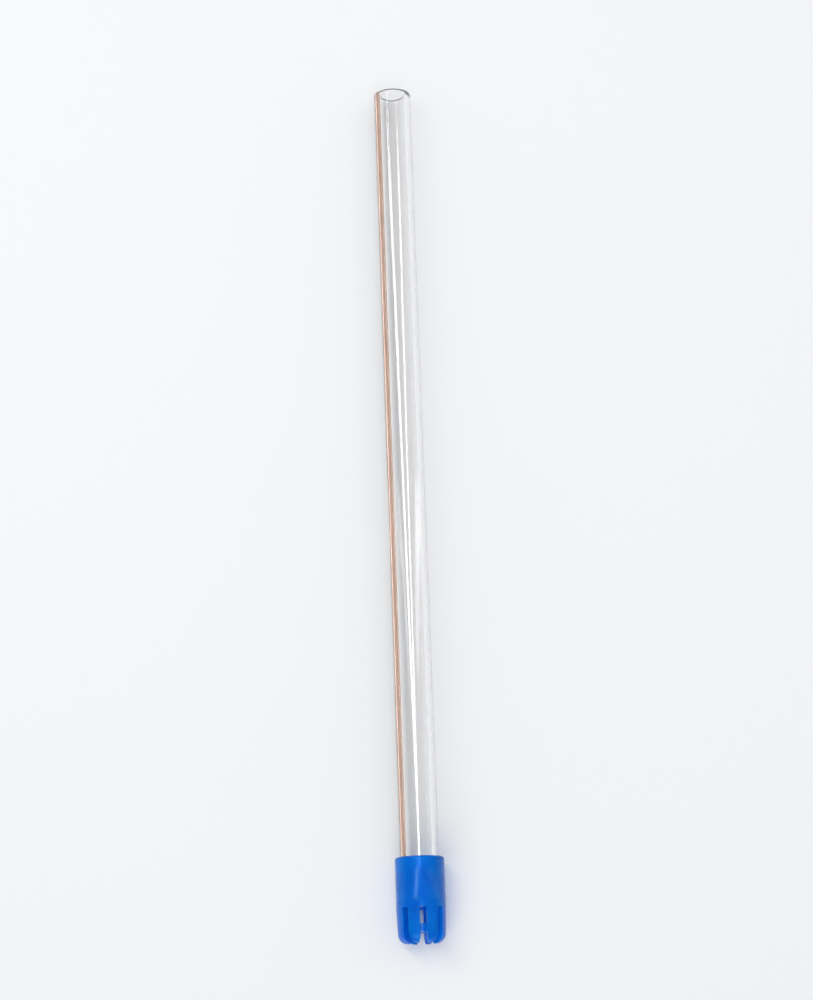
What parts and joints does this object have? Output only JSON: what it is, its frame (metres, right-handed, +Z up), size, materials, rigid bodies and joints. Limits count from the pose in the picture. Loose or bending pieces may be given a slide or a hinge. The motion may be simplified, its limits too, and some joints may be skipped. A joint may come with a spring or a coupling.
{
  "type": "saliva ejector",
  "caption": "Disposable dental saliva ejector: a clear flexible tube stiffened by a wire in its wall, with a soft slotted blue tip.",
  "frame": {"origin": "centre of the tube's open suction end", "axes": "+Y along the tube, out of its suction end; the tip points along -Y; +Z up as it lies on a table"},
  "size_m": [0.0082, 0.15, 0.0082],
  "materials": {
    "tube": "clear, glossy extruded soft PVC",
    "wire": "copper-washed drawn steel wire",
    "tip": "translucent blue moulded soft PVC, satin gloss"
  },
  "bodies": {
    "suction_end": {"tube_suction_end": "tube", "wire_suction_end": "wire"},
    "link_02": {"tube_link_02": "tube", "wire_link_02": "wire"},
    "link_03": {"tube_link_03": "tube", "wire_link_03": "wire"},
    "link_04": {"tube_link_04": "tube", "wire_link_04": "wire"},
    "link_05": {"tube_link_05": "tube", "wire_link_05": "wire"},
    "link_06": {"tube_link_06": "tube", "wire_link_06": "wire"},
    "link_07": {"tube_link_07": "tube", "wire_link_07": "wire"},
    "link_08": {"tube_link_08": "tube", "wire_link_08": "wire"},
    "link_09": {"tube_link_09": "tube", "wire_link_09": "wire"},
    "link_10": {"tube_link_10": "tube", "wire_link_10": "wire"},
    "link_11": {"tube_link_11": "tube", "wire_link_11": "wire"},
    "link_12": {"tube_link_12": "tube", "wire_link_12": "wire"},
    "link_13": {"tube_link_13": "tube", "wire_link_13": "wire"},
    "link_14": {"tube_link_14": "tube", "wire_link_14": "wire"},
    "link_15": {"tube_link_15": "tube", "wire_link_15": "wire"},
    "link_16": {"tube_link_16": "tube", "wire_link_16": "wire"},
    "link_17": {"tube_link_17": "tube", "wire_link_17": "wire"},
    "link_18": {"tube_link_18": "tube", "wire_link_18": "wire"},
    "link_19": {"tube_link_19": "tube", "wire_link_19": "wire"},
    "link_20": {"tube_link_20": "tube", "wire_link_20": "wire"},
    "link_21": {"tube_link_21": "tube", "wire_link_21": "wire"},
    "link_22": {"tube_link_22": "tube", "wire_link_22": "wire"},
    "link_23": {"tube_link_23": "tube", "wire_link_23": "wire"},
    "link_24": {"tube_link_24": "tube", "wire_link_24": "wire"},
    "link_25": {"tube_link_25": "tube", "wire_link_25": "wire"},
    "link_26": {"tube_link_26": "tube", "wire_link_26": "wire"},
    "link_27": {"tube_link_27": "tube", "wire_link_27": "wire"},
    "link_28": {"tube_link_28": "tube", "wire_link_28": "wire"},
    "tip_end": {"tube_tip_end": "tube", "wire_tip_end": "wire", "slotted_tip": "tip"}
  },
  "joints": [
    {"name": "tail_bend", "type": "hinge", "parent": "suction_end", "child": "link_02", "pos_m": [0, -0.0203, 0], "axis": [0, 0, 1], "range_deg": [-7.5, 7.5]},
    {"name": "tail_bend_02", "type": "hinge", "parent": "link_02", "child": "link_03", "pos_m": [0, -0.0244, 0], "axis": [0, 0, 1], "range_deg": [-7.5, 7.5]},
    {"name": "tail_bend_03", "type": "hinge", "parent": "link_03", "child": "link_04", "pos_m": [0, -0.0285, 0], "axis": [0, 0, 1], "range_deg": [-7.5, 7.5]},
    {"name": "tail_bend_04", "type": "hinge", "parent": "link_04", "child": "link_05", "pos_m": [0, -0.0326, 0], "axis": [0, 0, 1], "range_deg": [-7.5, 7.5]},
    {"name": "tail_bend_05", "type": "hinge", "parent": "link_05", "child": "link_06", "pos_m": [0, -0.0367, 0], "axis": [0, 0, 1], "range_deg": [-7.5, 7.5]},
    {"name": "tail_bend_06", "type": "hinge", "parent": "link_06", "child": "link_07", "pos_m": [0, -0.0408, 0], "axis": [0, 0, 1], "range_deg": [-7.5, 7.5]},
    {"name": "lift_bend", "type": "hinge", "parent": "link_07", "child": "link_08", "pos_m": [0, -0.0449, 0], "axis": [-1, 0, 0], "range_deg": [0, 10]},
    {"name": "lift_bend_02", "type": "hinge", "parent": "link_08", "child": "link_09", "pos_m": [0, -0.049, 0], "axis": [-1, 0, 0], "range_deg": [0, 10]},
    {"name": "lift_bend_03", "type": "hinge", "parent": "link_09", "child": "link_10", "pos_m": [0, -0.0531, 0], "axis": [-1, 0, 0], "range_deg": [0, 10]},
    {"name": "lift_bend_04", "type": "hinge", "parent": "link_10", "child": "link_11", "pos_m": [0, -0.0572, 0], "axis": [-1, 0, 0], "range_deg": [0, 10]},
    {"name": "lift_bend_05", "type": "hinge", "parent": "link_11", "child": "link_12", "pos_m": [0, -0.0613, 0], "axis": [-1, 0, 0], "range_deg": [0, 10]},
    {"name": "lift_bend_06", "type": "hinge", "parent": "link_12", "child": "link_13", "pos_m": [0, -0.0654, 0], "axis": [-1, 0, 0], "range_deg": [0, 10]},
    {"name": "hook_bend", "type": "hinge", "parent": "link_13", "child": "link_14", "pos_m": [0, -0.0695, 0], "axis": [0, 0, 1], "range_deg": [-10, 10]},
    {"name": "hook_bend_02", "type": "hinge", "parent": "link_14", "child": "link_15", "pos_m": [0, -0.0736, 0], "axis": [0, 0, 1], "range_deg": [-10, 10]},
    {"name": "hook_bend_03", "type": "hinge", "parent": "link_15", "child": "link_16", "pos_m": [0, -0.0777, 0], "axis": [0, 0, 1], "range_deg": [-10, 10]},
    {"name": "hook_bend_04", "type": "hinge", "parent": "link_16", "child": "link_17", "pos_m": [0, -0.0818, 0], "axis": [0, 0, 1], "range_deg": [-10, 10]},
    {"name": "hook_bend_05", "type": "hinge", "parent": "link_17", "child": "link_18", "pos_m": [0, -0.0859, 0], "axis": [0, 0, 1], "range_deg": [-10, 10]},
    {"name": "hook_bend_06", "type": "hinge", "parent": "link_18", "child": "link_19", "pos_m": [0, -0.09, 0], "axis": [0, 0, 1], "range_deg": [-10, 10]},
    {"name": "hook_bend_07", "type": "hinge", "parent": "link_19", "child": "link_20", "pos_m": [0, -0.0941, 0], "axis": [0, 0, 1], "range_deg": [-10, 10]},
    {"name": "hook_bend_08", "type": "hinge", "parent": "link_20", "child": "link_21", "pos_m": [0, -0.0982, 0], "axis": [0, 0, 1], "range_deg": [-10, 10]},
    {"name": "hook_bend_09", "type": "hinge", "parent": "link_21", "child": "link_22", "pos_m": [0, -0.1023, 0], "axis": [0, 0, 1], "range_deg": [-10, 10]},
    {"name": "hook_bend_10", "type": "hinge", "parent": "link_22", "child": "link_23", "pos_m": [0, -0.1064, 0], "axis": [0, 0, 1], "range_deg": [-10, 10]},
    {"name": "hook_bend_11", "type": "hinge", "parent": "link_23", "child": "link_24", "pos_m": [0, -0.1105, 0], "axis": [0, 0, 1], "range_deg": [-10, 10]},
    {"name": "hook_bend_12", "type": "hinge", "parent": "link_24", "child": "link_25", "pos_m": [0, -0.1146, 0], "axis": [0, 0, 1], "range_deg": [-10, 10]},
    {"name": "hook_bend_13", "type": "hinge", "parent": "link_25", "child": "link_26", "pos_m": [0, -0.1187, 0], "axis": [0, 0, 1], "range_deg": [-10, 10]},
    {"name": "hook_bend_14", "type": "hinge", "parent": "link_26", "child": "link_27", "pos_m": [0, -0.1228, 0], "axis": [0, 0, 1], "range_deg": [-10, 10]},
    {"name": "hook_bend_15", "type": "hinge", "parent": "link_27", "child": "link_28", "pos_m": [0, -0.1269, 0], "axis": [0, 0, 1], "range_deg": [-10, 10]},
    {"name": "hook_bend_16", "type": "hinge", "parent": "link_28", "child": "tip_end", "pos_m": [0, -0.131, 0], "axis": [0, 0, 1], "range_deg": [-10, 10]}
  ],
  "couplings": [
    {"joint": "tail_bend_02", "follows": "tail_bend", "ratio": 1},
    {"joint": "tail_bend_03", "follows": "tail_bend", "ratio": 1},
    {"joint": "tail_bend_04", "follows": "tail_bend", "ratio": 1},
    {"joint": "tail_bend_05", "follows": "tail_bend", "ratio": 1},
    {"joint": "tail_bend_06", "follows": "tail_bend", "ratio": 1},
    {"joint": "lift_bend_02", "follows": "lift_bend", "ratio": 1},
    {"joint": "lift_bend_03", "follows": "lift_bend", "ratio": 1},
    {"joint": "lift_bend_04", "follows": "lift_bend", "ratio": 1},
    {"joint": "lift_bend_05", "follows": "lift_bend", "ratio": 1},
    {"joint": "lift_bend_06", "follows": "lift_bend", "ratio": 1},
    {"joint": "hook_bend_02", "follows": "hook_bend", "ratio": 1},
    {"joint": "hook_bend_03", "follows": "hook_bend", "ratio": 1},
    {"joint": "hook_bend_04", "follows": "hook_bend", "ratio": 1},
    {"joint": "hook_bend_05", "follows": "hook_bend", "ratio": 1},
    {"joint": "hook_bend_06", "follows": "hook_bend", "ratio": 1},
    {"joint": "hook_bend_07", "follows": "hook_bend", "ratio": 1},
    {"joint": "hook_bend_08", "follows": "hook_bend", "ratio": 1},
    {"joint": "hook_bend_09", "follows": "hook_bend", "ratio": 1},
    {"joint": "hook_bend_10", "follows": "hook_bend", "ratio": 1},
    {"joint": "hook_bend_11", "follows": "hook_bend", "ratio": 1},
    {"joint": "hook_bend_12", "follows": "hook_bend", "ratio": 1},
    {"joint": "hook_bend_13", "follows": "hook_bend", "ratio": 1},
    {"joint": "hook_bend_14", "follows": "hook_bend", "ratio": 1},
    {"joint": "hook_bend_15", "follows": "hook_bend", "ratio": 1},
    {"joint": "hook_bend_16", "follows": "hook_bend", "ratio": 1}
  ]
}
